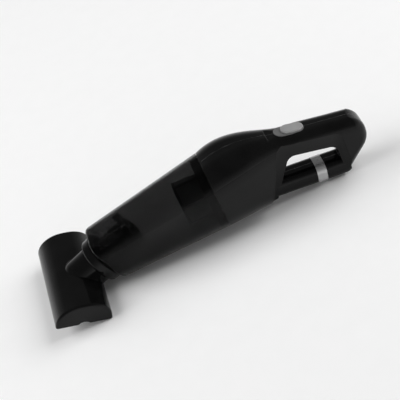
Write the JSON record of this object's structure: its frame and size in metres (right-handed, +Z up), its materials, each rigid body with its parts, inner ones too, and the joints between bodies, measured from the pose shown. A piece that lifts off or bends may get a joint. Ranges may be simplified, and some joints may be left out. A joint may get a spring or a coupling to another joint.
{
  "type": "handheld vacuum cleaner",
  "caption": "Cordless handheld vacuum cleaner with a smoked dust cup, swivelling floor head, closed loop handle, slide switch and internal fan motor.",
  "frame": {"origin": "on the floor below the middle of the whole length", "axes": "+X back along the motor axis towards the handle, +Z up, the floor head at -X"},
  "size_m": [0.392, 0.13, 0.098],
  "materials": {
    "gloss_black": "polished",
    "smoked": "smoked see-through, polished",
    "smoked_inner": "smoked see-through",
    "silver_paint": "silver paint, satin",
    "bright_ring": "bright plated",
    "matte_black": "fine texture",
    "white_plastic": "moulded",
    "rubber": "soft",
    "steel": "plain",
    "magnet": "sintered",
    "mesh": "woven",
    "filter_paper": "pleated",
    "cell_wrap": "shrink sleeve",
    "nickel": "nickel",
    "board": "solder mask",
    "red_lead": "insulation",
    "black_lead": "insulation"
  },
  "bodies": {
    "housing": {"left_housing": "gloss_black", "right_housing": "gloss_black", "housing_screws": "steel", "trim_ring": "bright_ring", "switch_track": "silver_paint", "micro_switch": "matte_black", "circuit_board": "board", "battery_cell": "cell_wrap", "front_strip": "nickel", "rear_strip": "nickel", "charge_socket": "matte_black", "exhaust_grille": "matte_black", "motor_lead_left": "black_lead", "motor_lead_right": "red_lead", "battery_lead_front": "red_lead", "battery_lead_rear": "black_lead", "charge_lead": "black_lead", "bulkhead": "matte_black", "cup_seal": "rubber", "fan_shroud": "matte_black", "motor_cushion": "rubber", "motor_can": "steel", "motor_cap": "matte_black", "motor_magnets": "magnet"},
    "rotor": {"armature": "steel", "motor_shaft": "steel", "fan_wheel": "white_plastic"},
    "filter": {"filter_frame": "matte_black", "mesh_screen": "mesh", "filter_element": "filter_paper", "filter_seal": "rubber"},
    "cup": {"dust_cup": "smoked", "inlet_tube": "smoked_inner", "flap_pin": "steel"},
    "flap": {"inlet_flap": "smoked_inner"},
    "coupling": {"coupling": "gloss_black", "coupling_seal": "rubber"},
    "head": {"head_shell": "gloss_black", "head_sole": "matte_black"},
    "slider": {"switch_knob": "silver_paint", "switch_lever": "white_plastic"}
  },
  "joints": [
    {"name": "cup_pull", "type": "slide", "parent": "housing", "child": "cup", "axis": [-0.9997, 0, -0.0263], "range_m": [0, 0.07]},
    {"name": "coupling_pull", "type": "slide", "parent": "cup", "child": "coupling", "axis": [-0.9304, 0, -0.3666], "range_m": [0, 0.03]},
    {"name": "head_swivel", "type": "hinge", "parent": "coupling", "child": "head", "pos_m": [-0.11783, 0, 0.03123], "axis": [0.9304, 0, 0.3666], "range_deg": [-90, 90]},
    {"name": "flap_swing", "type": "hinge", "parent": "cup", "child": "flap", "pos_m": [-0.08703, 0, 0.06518], "axis": [0, -1, 0], "range_deg": [0, 45]},
    {"name": "filter_pull", "type": "slide", "parent": "housing", "child": "filter", "axis": [-0.9997, 0, -0.0263], "range_m": [0, 0.012]},
    {"name": "switch_slide", "type": "slide", "parent": "housing", "child": "slider", "axis": [-0.9679, 0, 0.2513], "range_m": [0, 0.007]},
    {"name": "rotor_spin", "type": "hinge", "parent": "housing", "child": "rotor", "pos_m": [0.03883, 0, 0.0517], "axis": [0.9997, 0, 0.0263], "continuous": true}
  ]
}
